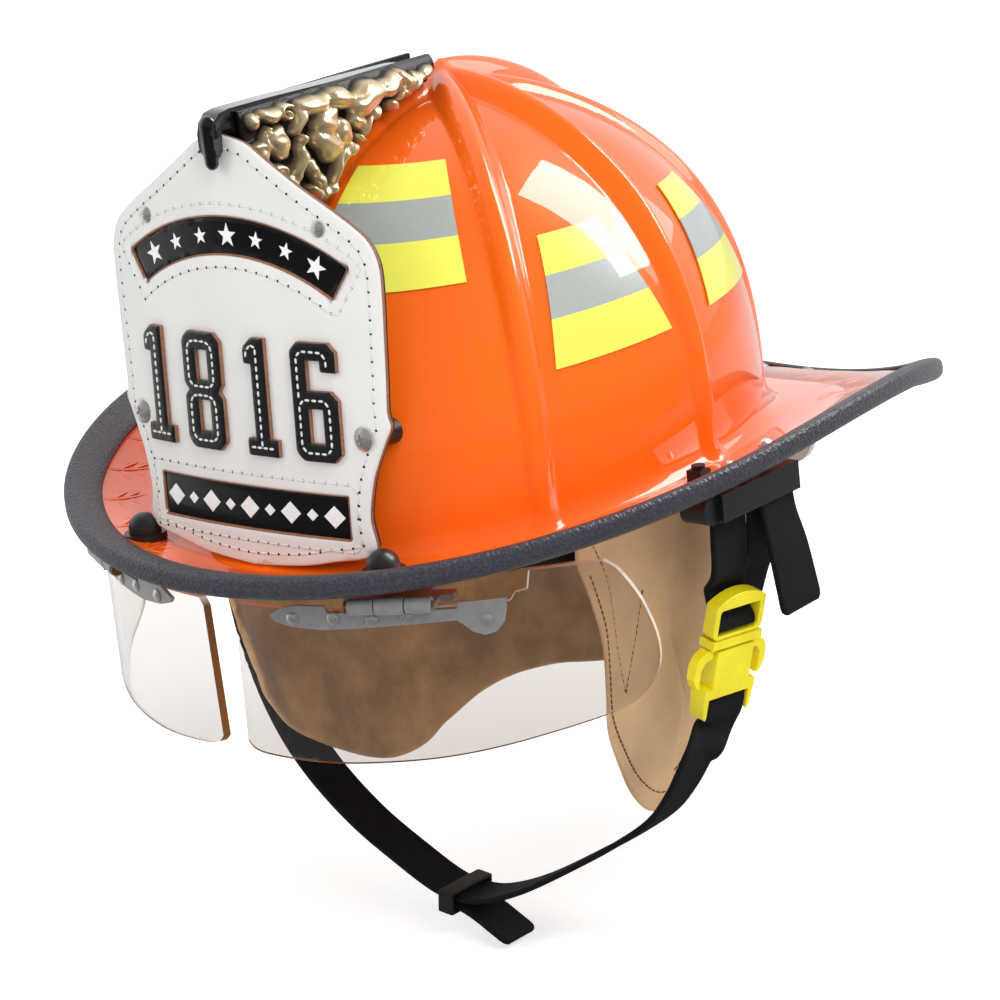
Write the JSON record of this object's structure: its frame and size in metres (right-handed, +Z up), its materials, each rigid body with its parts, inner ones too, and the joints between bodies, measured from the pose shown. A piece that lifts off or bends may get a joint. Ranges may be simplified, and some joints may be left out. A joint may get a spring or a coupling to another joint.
{
  "type": "fire helmet",
  "caption": "Traditional fire helmet: ribbed dome with wide brim, leather front on a relief holder, hinged eye shields, ear lap, head suspension and buckled chin strap.",
  "frame": {"origin": "centre of the head seat, on the middle plane, where the head band and crown straps carry the helmet", "axes": "+Z up, -Y to the front (the leather front faces -Y), +X to the wearer's left (the buckle side)"},
  "size_m": [0.3002, 0.3649, 0.3294],
  "materials": {
    "shell_orange": "deep gloss",
    "edge_rubber": "grained matt",
    "holder_black": "gloss lacquer",
    "relief_gilt": "antique gilt",
    "leather_black": "satin",
    "leather_white": "smooth satin",
    "leather_gloss": "patent gloss",
    "nickel": "polished",
    "plastic_black": "satin",
    "reflective_lime": "reflective film",
    "knob_black": "matt",
    "bracket_steel": "satin",
    "plate_steel": "blasted",
    "lens_clear": "clear, amber edges",
    "webbing": "woven",
    "buckle_yellow": "satin",
    "liner_foam": "foam",
    "pad_cloth": "padded cloth",
    "brow_leather": "soft",
    "earlap_cloth": "woven, matt"
  },
  "bodies": {
    "helmet": {"outer_shell": "shell_orange", "edge_trim": "edge_rubber", "front_holder": "holder_black", "crest_relief": "relief_gilt", "leather_backing": "leather_black", "leather_face": "leather_white", "upper_inlay": "leather_gloss", "lower_inlay": "leather_gloss", "number_1": "leather_gloss", "number_2": "leather_gloss", "number_3": "leather_gloss", "number_4": "leather_gloss", "front_rivets": "nickel", "front_screws": "nickel", "front_spacers": "plastic_black", "reflective_front": "reflective_lime", "reflective_side": "reflective_lime", "reflective_rear": "reflective_lime", "reflective_back": "reflective_lime", "brim_knobs": "knob_black", "anchor_bolts": "nickel", "anchor_nuts": "plastic_black", "lens_bracket_left": "bracket_steel", "lens_bracket_right": "bracket_steel", "hinge_pin_left": "nickel", "hinge_pin_right": "nickel", "strap_anchor_left": "plastic_black", "strap_anchor_right": "plastic_black", "upper_strap_front": "webbing", "upper_strap_rear": "webbing", "strap_tail": "webbing", "buckle_plug": "buckle_yellow", "buckle_body": "buckle_yellow", "lower_strap": "webbing", "strap_keeper": "plastic_black", "loose_end": "webbing", "impact_liner": "liner_foam", "crown_strap_1": "webbing", "crown_strap_2": "webbing", "crown_strap_3": "webbing", "crown_clips": "plastic_black", "crown_pad": "pad_cloth", "headband": "plastic_black", "brow_pad": "brow_leather", "ratchet_housing": "plastic_black", "nape_pad": "brow_leather", "earlap": "earlap_cloth", "hanger_bracket": "bracket_steel"},
    "shield_left": {"lens_plate_left": "plate_steel", "lens_left": "lens_clear", "lens_rivets_left": "nickel"},
    "shield_right": {"lens_plate_right": "plate_steel", "lens_right": "lens_clear", "lens_rivets_right": "nickel"},
    "knob": {"ratchet_knob": "plastic_black"},
    "left_rack": {"rack_left": "plastic_black"},
    "right_rack": {"rack_right": "plastic_black"},
    "front_prong": {"prong_front": "buckle_yellow"},
    "rear_prong": {"prong_rear": "buckle_yellow"},
    "ring": {"hanger_ring": "nickel"}
  },
  "joints": [
    {"name": "lens_left_flip", "type": "hinge", "parent": "helmet", "child": "shield_left", "pos_m": [0.06779, -0.12191, -0.0304], "axis": [-0.8805, -0.4741, 0], "range_deg": [0, 100]},
    {"name": "lens_right_flip", "type": "hinge", "parent": "helmet", "child": "shield_right", "pos_m": [-0.06779, -0.12191, -0.0304], "axis": [-0.8805, 0.4741, 0], "range_deg": [0, 100]},
    {"name": "ratchet_turn", "type": "hinge", "parent": "helmet", "child": "knob", "pos_m": [0, 0.0943, -0.04158], "axis": [0, -0.9925, 0.1219], "range_deg": [0, 171.88]},
    {"name": "rack_left_slide", "type": "slide", "parent": "helmet", "child": "left_rack", "axis": [-1, 0, 0], "range_m": [0, 0.012]},
    {"name": "rack_right_slide", "type": "slide", "parent": "helmet", "child": "right_rack", "axis": [1, 0, 0], "range_m": [0, 0.012]},
    {"name": "prong_front_squeeze", "type": "hinge", "parent": "helmet", "child": "front_prong", "pos_m": [0.11406, -0.01525, -0.07523], "axis": [0.9565, -0.1344, -0.2588], "range_deg": [0, 8], "stiffness_Nm_per_rad": 0.02},
    {"name": "prong_rear_squeeze", "type": "hinge", "parent": "helmet", "child": "rear_prong", "pos_m": [0.11667, 0.00614, -0.07669], "axis": [-0.9565, 0.1344, 0.2588], "range_deg": [0, 8], "stiffness_Nm_per_rad": 0.02},
    {"name": "hanger_swing", "type": "hinge", "parent": "helmet", "child": "ring", "pos_m": [0, 0.19, -0.0494], "axis": [1, 0, 0], "range_deg": [-70, 25]}
  ],
  "couplings": [
    {"joint": "rack_left_slide", "follows": "ratchet_turn", "m_per_rad": 0.004},
    {"joint": "rack_right_slide", "follows": "ratchet_turn", "m_per_rad": 0.004}
  ]
}
